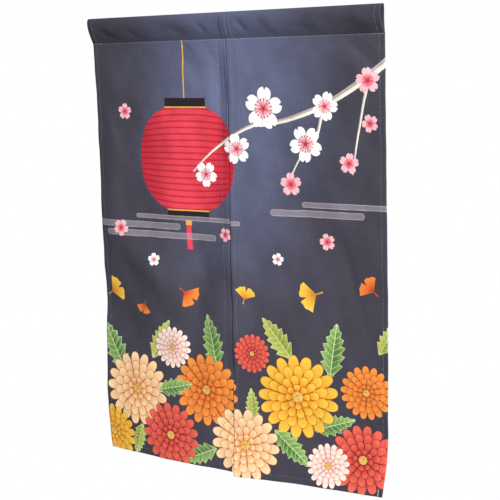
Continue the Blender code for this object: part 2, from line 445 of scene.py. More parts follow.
def cloth_object(name, outer, inner, columns, rows, areas, attributes, material, wrapped=False):
    """Closes two skins of points, outer and inner, into one thin piece of cloth with its print attributes.

    The grid's rows run down and its columns to the right. In a wrapped piece the last row meets the first.
    Columns and rows also give each line's share of the whole, from 0 to 1, for the bake map.
    """
    row_count, column_count = outer.shape[:2]
    index = np.arange(row_count * column_count).reshape(row_count, column_count)
    ring = np.vstack([index, index[:1]]) if wrapped else index
    under = row_count * column_count
    front_map = bake_places(areas[0], columns, rows)
    back_map = bake_places(areas[1], columns, rows)
    faces = []
    places = []

    def add_block(grid, grid_map):
        """Adds a block of quads from a grid of point numbers and a grid of map places."""
        faces.append(face_rows(grid))
        places.append(face_rows(grid_map))

    add_block(ring, front_map)
    add_block(ring[:, ::-1] + under, back_map[:, ::-1])
    rims = [
        np.stack([ring[:, 0] + under, ring[:, 0]], axis=1),
        np.stack([ring[:, -1], ring[:, -1] + under], axis=1),
    ]
    if not wrapped:
        rims.append(np.stack([index[0, ::-1] + under, index[0, ::-1]], axis=1))
        rims.append(np.stack([index[-1] + under, index[-1]], axis=1))
    for number, rim in enumerate(rims):
        strip = BakeArea(1.0 - (number + 1.0) * RIM_PITCH, RIM_FOOT, RIM_STRIP, RIM_HEIGHT)
        add_block(rim, bake_places(strip, np.array([0.0, 1.0]), np.linspace(0.0, 1.0, len(rim))))
    piece = mesh_piece(name, np.stack([outer, inner]), np.concatenate(faces).tolist(), places, material)
    for attribute_name, values in attributes.items():
        attribute = piece.data.attributes.new(attribute_name, "FLOAT_VECTOR", "POINT")
        attribute.data.foreach_set("vector", np.stack(values).astype(np.float32).ravel())
    return piece


def linear_colour(hex_colour):
    """Turns an sRGB hex value into linear red, green, blue and an alpha of one."""
    shares = np.array([int(hex_colour[place : place + 2], 16) for place in (1, 3, 5)]) / 255.0
    linear = np.where(shares <= 0.04045, shares / 12.92, ((shares + 0.055) / 1.055) ** 2.4)
    return (*linear.tolist(), 1.0)


def add(tree, kind, *feeds, take=0, **settings):
    """Adds a shader node with its settings, feeds its inputs in order, and returns one of its outputs.

    A feed is a value of the same tree, a constant, a hex colour, or None for an input that is left alone.
    """
    node = tree.nodes.new("ShaderNode" + kind)
    for name, setting in settings.items():
        setattr(node, name, setting)
    for socket, feed in zip(node.inputs, feeds):
        if isinstance(feed, Value):
            feed.link(socket)
        elif isinstance(feed, str):
            socket.default_value = linear_colour(feed)
        elif feed is not None:
            socket.default_value = feed
    return Value(tree, node.outputs[take])


def maths(operation, turned=False):
    """Makes an operator of values from a Math node's operation, with its inputs turned round if asked."""

    def work(value, other=None):
        feeds = (other, value) if turned else (value, other)
        return add(value.tree, "Math", *feeds, operation=operation)

    return work


class Value:
    """What a shader node gives out: a number, a place or an ink.

    Every operator adds a node to its tree: & is the product, | the larger, and < and > give one or zero.
    """

    __add__ = maths("ADD")
    __sub__ = maths("SUBTRACT")
    __rsub__ = maths("SUBTRACT", turned=True)
    __mul__ = maths("MULTIPLY")
    __truediv__ = maths("DIVIDE")
    __pow__ = maths("POWER")
    __abs__ = maths("ABSOLUTE")
    __lt__ = maths("LESS_THAN")
    __gt__ = maths("GREATER_THAN")
    __and__ = maths("MULTIPLY")
    __or__ = maths("MAXIMUM")
    smaller = maths("MINIMUM")
    folded = maths("PINGPONG")
    angle_over = maths("ARCTAN2")
    root = maths("SQRT")
    sine = maths("SINE")

    def __init__(self, tree, socket):
        self.tree = tree
        self.socket = socket

    def link(self, socket):
        """Feeds an input of a node in the same tree."""
        self.tree.links.new(self.socket, socket)

    def outputs(self):
        """All that its node gives out."""
        return [Value(self.tree, socket) for socket in self.socket.node.outputs]

    def parts(self):
        """A place's three parts."""
        return add(self.tree, "SeparateXYZ", self).outputs()

    def clamped(self):
        """Held between 0 and 1."""
        return add(self.tree, "Clamp", self)

    def near(self, middle, reach):
        """One within a reach of a middle, and zero beyond."""
        return add(self.tree, "Math", self, middle, reach, operation="COMPARE")

    def ramp(self, start, end, low=0.0, high=1.0, shape="LINEAR"):
        """Goes from low to high as the value goes from start to end, and is held there beyond them."""
        return add(self.tree, "MapRange", self, start, end, low, high, interpolation_type=shape)

    def mix(self, under, over):
        """One ink over another, as far as the value says."""
        return add(self.tree, "MixRGB", self, under, over)


def ink_of(code, inks):
    """The ink that a stencil's code names: code 1 is the first ink, code 2 the second, and so on."""
    colour = add(code.tree, "ValToRGB", (code - 0.5) / len(inks))
    ramp = colour.socket.node.color_ramp
    ramp.interpolation = "CONSTANT"
    while len(ramp.elements) < len(inks):
        ramp.elements.new(0.5)
    for number, ink in enumerate(inks):
        ramp.elements[number].position = number / len(inks)
        ramp.elements[number].color = linear_colour(ink)
    return colour


def start_stencil(name):
    """A node group for one kind of motif: it takes a place and gives the ink there and how far it covers."""
    tree = bpy.data.node_groups.new(name, "ShaderNodeTree")
    tree.interface.new_socket("Place", in_out="INPUT", socket_type="NodeSocketVector")
    tree.interface.new_socket("Ink", in_out="OUTPUT", socket_type="NodeSocketColor")
    tree.interface.new_socket("Cover", in_out="OUTPUT", socket_type="NodeSocketFloat")
    return Value(tree, tree.nodes.new("NodeGroupInput").outputs[0]).parts()


def end_stencil(ink, cover, code):
    """Ends a motif's group: it covers only where its code says that the motif lies."""
    output = ink.tree.nodes.new("NodeGroupOutput")
    ink.link(output.inputs[0])
    (cover & (code > CODE_FLOOR)).link(output.inputs[1])
    return ink.tree


def polar_of(along, aside):
    """Distance and angle of a place from its motif's middle."""
    return (along * along + aside * aside).root(), aside.angle_over(along)


# Chrysanthemums: rings of round-tipped petals, deep at the root and bright at the tip, with a fine dark line
# round every petal, and a seeded gold middle. Reaches and widths are shares of the flower's radius.
Ring = namedtuple("Ring", "petals reach rounding turn")
BLOOM_RINGS = (
    Ring(17, 1.00, 0.24, 0.0),
    Ring(15, 0.76, 0.24, 0.5),
    Ring(12, 0.53, 0.26, 0.25),
    Ring(8, 0.31, 0.28, 0.6),
)
BLOOM_TIPS = ("#f59a45", "#fbdcae", "#f7c948", "#ef6a55", "#fbeee2")
BLOOM_ROOTS = ("#c24a1c", "#e08a48", "#d8761c", "#a3202c", "#dd9080")
BLOOM_LINES = ("#7c2812", "#96502a", "#8a4312", "#5c0f18", "#9a5248")
SEED_INKS = ("#fbe07a", "#a8611c")
SEEDS = 26.0
SEEDED_MIDDLE = 0.125
PETAL_LINE = 0.013
PETAL_LINE_CORE = 0.6 * PETAL_LINE
PETAL_TIP_POWER = 2.6
PETAL_DEEP_SHARE = 0.40
PETAL_BRIGHT_SHARE = 0.98
PETAL_EDGE = 0.05
PETAL_EDGE_SHADE = 0.55


def bloom_stencil():
    """Rings of petals: a tip is its ring's reach less a power of the place across the petal."""
    along, aside, code = start_stencil("chrysanthemum")
    reach, angle = polar_of(along, aside)
    tips, roots, lines = (ink_of(code, inks) for inks in (BLOOM_TIPS, BLOOM_ROOTS, BLOOM_LINES))
    ink = None
    for ring in BLOOM_RINGS:
        petal_angle = 2.0 * np.pi / ring.petals
        off_middle = (angle / petal_angle + ring.turn).folded(0.5)
        rounded = (off_middle * 2.0) ** PETAL_TIP_POWER * (ring.rounding * ring.reach)
        from_tip = ring.reach - rounded - reach
        from_edge = from_tip.smaller((0.5 - off_middle) * reach * petal_angle)
        outwards = reach.ramp(PETAL_DEEP_SHARE * ring.reach, PETAL_BRIGHT_SHARE * ring.reach)
        inwards = from_edge.ramp(0.0, PETAL_EDGE, PETAL_EDGE_SHADE, 1.0, "SMOOTHSTEP")
        petal = (outwards * inwards).mix(roots, tips)
        petal = from_edge.ramp(PETAL_LINE, PETAL_LINE_CORE).mix(petal, lines)
        on_ring = from_tip > 0.0
        if ink is None:
            ink, cover = petal, on_ring
        else:
            ink = on_ring.mix(ink, petal)
    seeds = add(code.tree, "CombineXYZ", along, aside, 0.0)
    off_seed = add(code.tree, "TexVoronoi", seeds, None, SEEDS, feature="F1")
    ink = (reach < SEEDED_MIDDLE).mix(ink, off_seed.mix(*SEED_INKS))
    return end_stencil(ink, cover, code)


# Chrysanthemum leaves: lobed green blades with a pale rim, midrib and side veins, one half in the light.
# Widths are shares of the leaf's half length; lobes and veins are counts to that length. A ramp is given by
# its start and its end, and by its values there where these aren't zero and one, here and further on.
LEAF_LIGHTS = ("#86ad5a", "#b9bf58")
LEAF_DARKS = ("#3f6b3a", "#7d8a34")
LEAF_RIM_INK = "#dfe3b4"
LEAF_HALF_WIDTH = 0.46
LEAF_TAPER = 0.28
LEAF_FULLNESS = 0.8
LEAF_SLANT = 0.7
LEAF_LOBES = 3.0
LEAF_LOBE_START = 0.3
LEAF_NOTCH = 0.75
LEAF_VEINS = 4.5
LEAF_VEIN = 0.045
LEAF_MIDRIB = 0.018
LEAF_RIM = 0.020
LEAF_LINE_COVER = 0.75
LEAF_LIT = 0.45
LEAF_LIT_EDGE = (-0.03, 0.03)
LEAF_GLOW = (0.0, 0.25, 0.9, 0.15)


def leaf_stencil():
    """A blade along its first axis: its half width is a power of one less the square, cut by lobes."""
    along, aside, code = start_stencil("lobed_leaf")
    side = abs(aside)
    taper = along * (-LEAF_TAPER * LEAF_HALF_WIDTH) + LEAF_HALF_WIDTH
    blade = (1.0 - along * along).clamped() ** LEAF_FULLNESS * taper
    slant = along - side * LEAF_SLANT
    lobe = (slant * LEAF_LOBES + LEAF_LOBE_START).folded(0.5)
    from_rim = blade * (1.0 - lobe * LEAF_NOTCH) - side
    lit = (aside.ramp(*LEAF_LIT_EDGE) * LEAF_LIT + from_rim.ramp(*LEAF_GLOW)).clamped()
    ink = lit.mix(ink_of(code, LEAF_DARKS), ink_of(code, LEAF_LIGHTS))
    vein = (slant * LEAF_VEINS).folded(0.5)
    line = (vein < LEAF_VEIN) | (side < LEAF_MIDRIB) | (from_rim < LEAF_RIM)
    ink = (line * LEAF_LINE_COVER).mix(ink, LEAF_RIM_INK)
    return end_stencil(ink, from_rim > 0.0, code)


# Plum and cherry blossoms: five notched petals, white or pink, blushed at the middle, with fine stamens.
# Reaches and widths are shares of the blossom's radius.
BLOSSOM_TIPS = ("#ffffff", "#f8bcc3")
BLOSSOM_ROOTS = ("#f3a3ab", "#dd5468")
STAMEN_INK = "#c12a44"
BLOSSOM_PETALS = 5
BLOSSOM_ROUNDING = 2.4
BLOSSOM_ARCH_POWER = 0.55
BLOSSOM_ARCH = 0.60
BLOSSOM_WAIST = 0.38
BLOSSOM_GAP = 0.012
BLOSSOM_NOTCH = (0.0, 0.07, 0.16, 0.0)
BLOSSOM_BLUSH = (0.08, 0.62)
STAMENS = 15
STAMEN_REACH = 0.40
STAMEN_WIDTH = 0.028
ANTHER_REACH = 0.42
ANTHER_HALF_LENGTH = 0.035
ANTHER_HALF_TURN = 0.20
BLOSSOM_EYE = 0.09


def blossom_stencil():
    """Five petals: each tip is a rounded arch across the petal, with a small notch in its middle."""
    along, aside, code = start_stencil("five_petal_blossom")
    reach, angle = polar_of(along, aside)
    off_middle = (angle * (BLOSSOM_PETALS / (2.0 * np.pi))).folded(0.5)
    arch = (1.0 - (off_middle * 2.0) ** BLOSSOM_ROUNDING).clamped() ** BLOSSOM_ARCH_POWER
    tip = arch * BLOSSOM_ARCH + BLOSSOM_WAIST - off_middle.ramp(*BLOSSOM_NOTCH)
    blush = reach.ramp(*BLOSSOM_BLUSH, shape="SMOOTHSTEP")
    ink = blush.mix(ink_of(code, BLOSSOM_ROOTS), ink_of(code, BLOSSOM_TIPS))
    off_stamen = (angle * (STAMENS / (2.0 * np.pi))).folded(0.5)
    stamen = (off_stamen * reach < STAMEN_WIDTH) & (reach < STAMEN_REACH)
    anther = reach.near(ANTHER_REACH, ANTHER_HALF_LENGTH) & (off_stamen < ANTHER_HALF_TURN)
    gap = (0.5 - off_middle) * reach < BLOSSOM_GAP
    ink = (stamen | anther | (reach < BLOSSOM_EYE) | gap).mix(ink, STAMEN_INK)
    return end_stencil(ink, tip - reach > 0.0, code)


# Ginkgo leaves: small fans on a stem, notched in the middle and finely ribbed.
# Angles are from the leaf's axis, about the point where the stem ends.
FAN_TIPS = ("#f6c64a", "#f08a3a")
FAN_ROOTS = ("#cf7d1f", "#b83a22")
FAN_APEX = -0.52
FAN_REACH = 1.12
FAN_HALF_ANGLE = 1.02
FAN_NOTCH_HALF_ANGLE = 0.16
FAN_NOTCH = 0.42
FAN_WAVES = 14.0
FAN_WAVE = 0.025
FAN_RIBS = 7.0
FAN_RIB_LIGHT = 0.35
FAN_GLOW = (0.15, 1.05)
STEM_HALF_WIDTH = 0.045
STEM_END = -0.97
STEM_TOP = 0.12


def fan_stencil():
    """A fan about a point on its axis: its rim dips to a notch on the axis and waves a little."""
    along, aside, code = start_stencil("fan_leaf")
    from_apex = along - FAN_APEX
    reach, angle = polar_of(from_apex, aside)
    off_axis = abs(angle)
    notch = off_axis.ramp(0.0, FAN_NOTCH_HALF_ANGLE, FAN_NOTCH, 0.0, "SMOOTHSTEP")
    from_rim = (angle * FAN_WAVES).sine() * FAN_WAVE + FAN_REACH - notch - reach
    from_edge = from_rim.smaller((FAN_HALF_ANGLE - off_axis) * reach)
    rib = (angle * FAN_RIBS).folded(0.5)
    brightness = (rib * FAN_RIB_LIGHT + reach.ramp(*FAN_GLOW)).clamped()
    ink = brightness.mix(ink_of(code, FAN_ROOTS), ink_of(code, FAN_TIPS))
    stem = (abs(aside) < STEM_HALF_WIDTH) & (from_apex < STEM_TOP) & (along > STEM_END)
    return end_stencil(ink, (from_edge > 0.0) | stem, code)


# The paper lantern: a rounded red body with bowed ribs, lit in the middle, and bars drawn over it in order
# for its cord, tassel, knot, dark caps and their gold rims. Bars are placed from its middle, downwards.
LANTERN_MIDDLE = (-0.135, 0.368, 0.0)
LANTERN_HALF_WIDTH = 0.146
LANTERN_HALF_HEIGHT = 0.142
LANTERN_ROUNDING = 2.4
LANTERN_RIB = 0.0165
LANTERN_RIB_BOW = 0.16
LANTERN_LINE = 0.0011
LANTERN_LINE_COVER = 0.55
LANTERN_RIM = (1.01, 0.99)
LANTERN_BRUSH = 0.35
LANTERN_GLOW = (1.0, 0.1, 0.0, 0.8)
LANTERN_INK = "#f0485a"
LANTERN_DEEP_INK = "#b5202f"
LANTERN_LINE_INK = "#7d1422"
CAP_INK = "#2c2329"
GOLD_INK = "#e3b350"
LanternBar = namedtuple("LanternBar", "below half_width half_height ink")
LANTERN_BARS = (
    LanternBar(-0.227, 0.0018, 0.0760, GOLD_INK),
    LanternBar(0.206, 0.0075, 0.0330, LANTERN_INK),
    LanternBar(0.167, 0.0095, 0.0070, GOLD_INK),
    LanternBar(-0.146, 0.0640, 0.0120, CAP_INK),
    LanternBar(0.146, 0.0640, 0.0120, CAP_INK),
    LanternBar(-0.1345, 0.0640, 0.0018, GOLD_INK),
    LanternBar(0.1345, 0.0640, 0.0018, GOLD_INK),
)


def lantern_layer(place, brush):
    """The lantern's ink and cover: it lies where the powers of both shares of half size sum to under one."""
    offset = add(place.tree, "VectorMath", place, LANTERN_MIDDLE, operation="SUBTRACT")
    across, below, _ = offset.parts()
    side = abs(across)
    wide = side / LANTERN_HALF_WIDTH
    wide_power = wide ** LANTERN_ROUNDING
    tall_power = (abs(below) / LANTERN_HALF_HEIGHT) ** LANTERN_ROUNDING
    cover = (wide_power + tall_power).ramp(*LANTERN_RIM)
    off_line = (below * (wide_power * LANTERN_RIB_BOW + 1.0)).folded(LANTERN_RIB / 2)
    lit = (brush * LANTERN_BRUSH + wide.ramp(*LANTERN_GLOW, "SMOOTHSTEP")).clamped()
    ink = lit.mix(LANTERN_DEEP_INK, LANTERN_INK)
    line = off_line.ramp(LANTERN_LINE, 3.0 * LANTERN_LINE, LANTERN_LINE_COVER, 0.0)
    ink = line.mix(ink, LANTERN_LINE_INK)
    for bar in LANTERN_BARS:
        on_bar = (side < bar.half_width) & below.near(bar.below, bar.half_height)
        ink = on_bar.mix(ink, bar.ink)
        cover = cover | on_bar
    return ink, cover


# The cloth: plain-woven polyester linen, dye-printed on its face, with a matt soft finish and uneven threads.
# The print is a generic lantern among flowers on slate; the wrong side is paler and shows it faintly.
# A noise is given as its grains to the metre, its detail and its roughness.
# The slate ground is a printed gradient that also carries painted shade: lighter in the middle and high up,
# darker towards the sides, darkest at the lower corners.
GROUND_MIDDLE = "#636885"
GROUND_EDGE_WITH_PAINTED_SHADE = "#44424d"
GROUND_CORNER_WITH_PAINTED_SHADE = "#3a3741"
EDGE_SHADE = (0.32, 1.17)
CORNER_SHADE = (1.1, 2.2)
VIGNETTE_MIDDLE = (0.0, -0.12, 0.0)
VIGNETTE_SPREAD = (1.0 / 0.41, 1.0 / 0.86, 0.0)
CLOUDS = (7.0, 2.0, 0.5)
CLOUD_SHARE = 0.5
SPECKS = (220.0, 3.0, 0.6)
# Painted shade over the heading: its ground is mixed part way towards a dark grey.
HEADING_PAINTED_SHADE_INK = "#33323a"
HEADING_PAINTED_SHADE_COVER = 0.33
MIST_INK = "#b4a9b2"
MIST_BODY = (0.0012, 0.0022, 0.0, 0.42)
MIST_LINE = (0.0024, 0.0009)
MIST_LINE_COVER = 0.40
MIST_RAGGED = 0.003
TWIG_INK = "#f4eee2"
TWIG_SHADE_INK = "#b3a7a2"
TWIG_RAGGED = 0.0022
TWIG_RIM = (0.0010, 0.0014)
BARK_RAGGED = 0.004
BARK_LIGHT = (0.0042, 0.0012)
WRONG_SIDE_INK = "#b4b2bd"
SHOW_THROUGH = 0.35
CLOTH_ROUGHNESS = 0.88
CLOTH_SHEEN = 0.03
CLOTH_SPECULAR = 0.12
SLUBS = (420.0, 2.0, 0.6)
SLUB_STRETCH = 16.0
BRUSH_STRETCH = (1.0 / SLUB_STRETCH, 0.35, 0.0)
SLUB_SHADE = 0.36
SLUB_HEIGHT = 0.0004
SLUB_BUMP = 0.7


def start_material(name):
    """A new material, its node tree and its shader."""
    material = bpy.data.materials.new(name)
    material.use_nodes = True
    return material, material.node_tree, material.node_tree.nodes["Principled BSDF"]


def finish_shader(shader, ink, height, bump, bump_height, roughness):
    """Feeds a shader with an ink, a bump made of a height, and a roughness."""
    normal = add(ink.tree, "Bump", bump, bump_height)
    height.link(normal.socket.node.inputs["Height"])
    ink.link(shader.inputs["Base Color"])
    normal.link(shader.inputs["Normal"])
    shader.inputs["Roughness"].default_value = roughness


def slubs(place, stretch):
    """The uneven threads of one direction: fine noise that is drawn out along them."""
    drawn = add(place.tree, "VectorMath", place, stretch, operation="MULTIPLY")
    return add(place.tree, "TexNoise", drawn, None, *SLUBS)


def printed_cloth_material():
    """Lays the print over its ground in order, from the ground with its painted shade to the small leaves,
    then adds the weave.
    """
    material, tree, shader = start_material("dye_printed_polyester_linen")
    place = add(tree, "Attribute", attribute_name="cloth_place", take=1)
    _, down, wrong_side = place.parts()
    flat_place = add(tree, "VectorMath", place, (1.0, 1.0, 0.0), operation="MULTIPLY")
    brush_work = add(tree, "Attribute", attribute_name="brush_work", take=1)
    off_twig, twig_half, mist_reach = brush_work.parts()
    specks = add(tree, "TexNoise", flat_place, None, *SPECKS)
    cloud = add(tree, "TexNoise", flat_place, None, *CLOUDS)
    brush = slubs(flat_place, BRUSH_STRETCH)
    from_middle = add(tree, "VectorMath", flat_place, VIGNETTE_MIDDLE, operation="ADD")
    from_middle = add(tree, "VectorMath", from_middle, VIGNETTE_SPREAD, operation="MULTIPLY")
    from_middle = add(tree, "VectorMath", from_middle, operation="LENGTH", take=1)
    clouded = cloud * CLOUD_SHARE + from_middle
    # Partly the print's gradient, partly painted shade: the ground darkens from its middle towards the sides
    # and the lower corners.
    ink = clouded.ramp(*EDGE_SHADE, shape="SMOOTHSTEP").mix(GROUND_MIDDLE, GROUND_EDGE_WITH_PAINTED_SHADE)
    ink = clouded.ramp(*CORNER_SHADE, shape="SMOOTHSTEP").mix(ink, GROUND_CORNER_WITH_PAINTED_SHADE)
    # Painted shade: the heading's ground is darkened towards a dark grey.
    ink = ((down < SLEEVE_DROP) * HEADING_PAINTED_SHADE_COVER).mix(ink, HEADING_PAINTED_SHADE_INK)
    lantern_ink, lantern_cover = lantern_layer(flat_place, brush)
    ink = lantern_cover.mix(ink, lantern_ink)
    ragged_reach = brush * MIST_RAGGED + mist_reach
    mist_line = ragged_reach.near(*MIST_LINE) * MIST_LINE_COVER
    ink = (mist_line + ragged_reach.ramp(*MIST_BODY)).mix(ink, MIST_INK)
    twig_depth = specks * TWIG_RAGGED + (twig_half - abs(off_twig))
    bark = (specks * BARK_RAGGED + off_twig).ramp(*BARK_LIGHT)
    ink = twig_depth.ramp(*TWIG_RIM).mix(ink, bark.mix(TWIG_SHADE_INK, TWIG_INK))
    bloom = bloom_stencil()
    leaf = leaf_stencil()
    layers = (
        ("leaves_back", leaf),
        ("blooms_back", bloom),
        ("leaves_front", leaf),
        ("blooms_front", bloom),
        ("blossoms", blossom_stencil()),
        ("fan_leaves", fan_stencil()),
    )
    for name, group in layers:
        motif_place = add(tree, "Attribute", attribute_name=name, take=1)
        motif_ink, cover = add(tree, "Group", motif_place, node_tree=group).outputs()
        ink = cover.mix(ink, motif_ink)
    ink = ((wrong_side > 0.5) * (1.0 - SHOW_THROUGH)).mix(ink, WRONG_SIDE_INK)
    weft = slubs(flat_place, (1.0 / SLUB_STRETCH, 1.0, 0.0))
    warp = slubs(flat_place, (1.0, 1.0 / SLUB_STRETCH, 0.0))
    threads = weft + warp
    lightness = threads * SLUB_SHADE + (1.0 - SLUB_SHADE)
    ink = add(tree, "MixRGB", 1.0, ink, lightness, blend_type="MULTIPLY")
    finish_shader(shader, ink, threads, SLUB_BUMP, SLUB_HEIGHT, CLOTH_ROUGHNESS)
    shader.inputs["Sheen Weight"].default_value = CLOTH_SHEEN
    shader.inputs["Specular IOR Level"].default_value = CLOTH_SPECULAR
    return material


printed_cloth = printed_cloth_material()


def in_hems(panel, across, down):
    """Where a panel's cloth is turned over: along both of its upright edges and along its foot."""
    return (
        (across - panel.left.across <= panel.left.hem + HEM_MATCH)
        | (panel.right.across - across <= panel.right.hem + HEM_MATCH)
        | (PANEL_HEIGHT - down <= FOOT_HEM + HEM_MATCH)
    )


def panel_cloth(panel):
    """One panel: its front face, and a back face that lies deeper and shows the print in the hems."""
    width = panel.right.across - panel.left.across
    places_across = hemmed_places(width, panel.left.hem, panel.right.hem)
    places_down = hemmed_places(PANEL_HEIGHT, 0.0, FOOT_HEM)
    flat_across = panel.left.across + places_across[None, :]
    fall = places_down[:, None] / PANEL_HEIGHT
    in_hem = in_hems(panel, flat_across, places_down[:, None])
    front = panel_front(panel, flat_across, fall)
    thick = CLOTH_THICK + HEM_EXTRA * in_hem
    back = front + np.stack([np.zeros_like(thick), thick, np.zeros_like(thick)], axis=-1)
    cloth = cloth_object(
        "printed_" + panel.node,
        front,
        back,
        places_across / width,
        places_down / PANEL_HEIGHT,
        SIDE_BY_SIDE,
        print_attributes(flat_across, SLEEVE_DROP + places_down[:, None], in_hem),
        printed_cloth,
    )
    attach(cloth, "root")
    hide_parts(panel.node)
    return cloth


left_cloth = panel_cloth(PANELS[0])
right_cloth = panel_cloth(PANELS[1])


# The heading: one length of the same cloth turned over at the top and sewn down, as a sleeve for a rod.
# Its section swells at the front and back, leans forward at the top, and is creased above the seam.
SleeveSection = namedtuple("SleeveSection", "across lean front_bulge back_bulge")
SLEEVE_SECTIONS = (
    SleeveSection(-1.0, 0.008, 0.0130, 0.0085),
    SleeveSection(-0.55, 0.007, 0.0120, 0.0095),
    SleeveSection(-0.01, 0.006, 0.0120, 0.0100),
    SleeveSection(0.50, 0.006, 0.0125, 0.0095),
    SleeveSection(1.0, 0.007, 0.0125, 0.0085),
)
BULGE_PEAK = 2.598
SLEEVE_LIP = 0.004
SLEEVE_FLARE_LEFT = 0.003
SLEEVE_FLARE_RIGHT = -0.001
SLEEVE_PINCH_RIGHT = 0.003
SLEEVE_END_REACH = 6
LIP_INSIDE_HALF = 0.0002
SLEEVE_CREASES = (
    Fold(-0.376, 0.040, 30.0, 0.018, 0.008, -0.0022),
    Fold(-0.345, 0.052, 26.0, 0.018, 0.007, -0.0018),
    Fold(-0.285, 0.044, 34.0, 0.022, 0.009, -0.0022),
    Fold(-0.205, 0.046, 165.0, 0.040, 0.010, -0.0014),
    Fold(-0.148, 0.042, 26.0, 0.026, 0.009, -0.0014),
    Fold(-0.066, 0.037, 44.0, 0.016, 0.006, -0.0020),
    Fold(0.048, 0.033, 46.0, 0.020, 0.006, -0.0022),
    Fold(0.116, 0.040, 40.0, 0.024, 0.009, -0.0010),
    Fold(0.212, 0.045, 20.0, 0.040, 0.009, -0.0010),
    Fold(0.335, 0.044, 160.0, 0.040, 0.009, -0.0012),
)
SLEEVE_WAVE_SHARE = 1.4
SLEEVE_COLUMN_STEP = 0.0044
SLEEVE_SEAM_STEP = 0.0009
SLEEVE_ROWS_ROUND = 34
SLEEVE_SEAMS = (-0.4105, -0.0130, 0.0070, 0.0200, 0.4105)
SLEEVE_SEAM_DEPTH = 0.0008
SLEEVE_SEAM_WIDTH = 0.0016
SLEEVE_SEAM_ZONE = 0.005
CENTRE_BAND_RISE = 0.0012


def sleeve_place(across, half_turn, inset):
    """A point of the sleeve's skin, set inwards by a thickness, at an across from -1 to 1 and a half turn.

    The half turn goes from 0 at the top fold to a quarter turn at the seam, less than zero behind. The
    drop is the square of its sine, and the bulge its sine times its squared cosine.
    """
    places = [section.across for section in SLEEVE_SECTIONS]
    lean, front_bulge, back_bulge = (
        np.interp(across, places, [getattr(section, column) for section in SLEEVE_SECTIONS])
        for column in ("lean", "front_bulge", "back_bulge")
    )
    fall = np.sin(half_turn) ** 2
    lip = SLEEVE_LIP if inset else 0.0
    seam_half = LIP_INSIDE_HALF if inset else FRONT_FACE
    down = inset + fall * (SLEEVE_DROP - lip - inset)
    bulge = np.where(half_turn > 0.0, front_bulge, back_bulge) - inset
    forward = lean * (1.0 - down / SLEEVE_DROP)
    forward = forward + bulge * BULGE_PEAK * np.sin(half_turn) * np.cos(half_turn) ** 2
    forward = forward + seam_half * np.sin(half_turn) ** 3
    flat_across = across * WIDTH / 2 + 0.0 * down
    relief = fold_rise(SLEEVE_CREASES, flat_across, down)
    relief = relief + SLEEVE_WAVE_SHARE * wave_rise(flat_across, down) * np.sin(np.pi * fall)
    for seam in SLEEVE_SEAMS:
        relief = relief - SLEEVE_SEAM_DEPTH * np.exp(-((flat_across - seam) / SLEEVE_SEAM_WIDTH) ** 2)
    in_band = (flat_across > SLEEVE_SEAMS[1]) & (flat_across < SLEEVE_SEAMS[2])
    relief = relief + CENTRE_BAND_RISE * in_band
    forward = forward + np.sign(half_turn) * relief * np.sqrt(np.sin(np.pi * np.clip(fall, 0.0, 1.0)))
    near_end = np.abs(across) ** SLEEVE_END_REACH
    flare = np.where(across < 0.0, SLEEVE_FLARE_LEFT, SLEEVE_FLARE_RIGHT) * (1.0 - fall) * near_end
    pinch = np.where(across < 0.0, 0.0, SLEEVE_PINCH_RIGHT) * np.sin(np.pi * fall) * near_end
    sideways = across * WIDTH / 2 + np.sign(across) * (flare - pinch)
    return np.stack(np.broadcast_arrays(sideways, -forward, -down), axis=-1)


half_turns = np.linspace(0.0, np.pi / 2, SLEEVE_ROWS_ROUND)
half_turns = np.concatenate([half_turns, -half_turns[:0:-1]])
sleeve_knots = [-WIDTH / 2]
for seam in SLEEVE_SEAMS:
    sleeve_knots += [seam - SLEEVE_SEAM_ZONE, seam + SLEEVE_SEAM_ZONE]
sleeve_knots.append(WIDTH / 2)
sleeve_steps = [SLEEVE_COLUMN_STEP, SLEEVE_SEAM_STEP] * len(SLEEVE_SEAMS) + [SLEEVE_COLUMN_STEP]
sleeve_columns = places_between(sleeve_knots, sleeve_steps) / (WIDTH / 2)
sleeve_down = np.sign(half_turns)[:, None] * SLEEVE_DROP * np.sin(half_turns[:, None]) ** 2
sleeve_across = sleeve_columns[None, :] * WIDTH / 2
in_end_hems = np.abs(sleeve_across) > WIDTH / 2 - OUTER_HEM
heading_cloth = cloth_object(
    "printed_heading",
    sleeve_place(sleeve_columns[None, :], half_turns[:, None], 0.0),
    sleeve_place(sleeve_columns[None, :], half_turns[:, None], CLOTH_THICK),
    (sleeve_columns + 1.0) / 2.0,
    np.linspace(0.0, 1.0, len(half_turns) + 1),
    STACKED,
    print_attributes(sleeve_across, sleeve_down, in_end_hems),
    printed_cloth,
    wrapped=True,
)
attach(heading_cloth, "root")
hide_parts("heading")


# The stitching: light grey two-ply polyester lockstitches, sewn back over themselves at the outer ends of
# the sleeve's seam, and a satin bar at the foot of each side hem. Every stitch shows on both sides of the
# cloth: a small capsule that arches over it and dips into it at both ends.
THREAD_LIGHT = "#dad7e1"
# Painted shade: the darker ink of the grooves between the thread's plies.
THREAD_GROOVE_PAINTED_SHADE = "#a29fad"
THREAD_ROUGHNESS = 0.7
THREAD_PLIES = 2.0
THREAD_TWISTS = 3.0
PLY_HEIGHT = 0.00004
PLY_BUMP = 0.5
THREAD_RADIUS = 0.000125
STITCH_PITCH = 0.0028
STITCH_LENGTH = 0.0015
STITCH_ARCH = 0.00012
STITCH_SINK = 0.00004
STITCH_SIDES = 6
SEWN_BACK_LENGTH = 0.032
SEWN_BACK_ASIDE = 0.0005
BAR_START = 0.0015
BAR_LENGTH = 0.018
BAR_PITCH = 0.0005
BAR_HALF_WIDTH = 0.0012
BAR_RADIUS = 0.00024
CAPSULE_PLACES = np.array([0.0, 0.12, 0.5, 0.88, 1.0])
CAPSULE_WIDTHS = np.array([0.45, 0.9, 1.0, 0.9, 0.45])
CAP_SPREAD = 0.05
SLEEVE_SEAM_BELOW = 0.0014


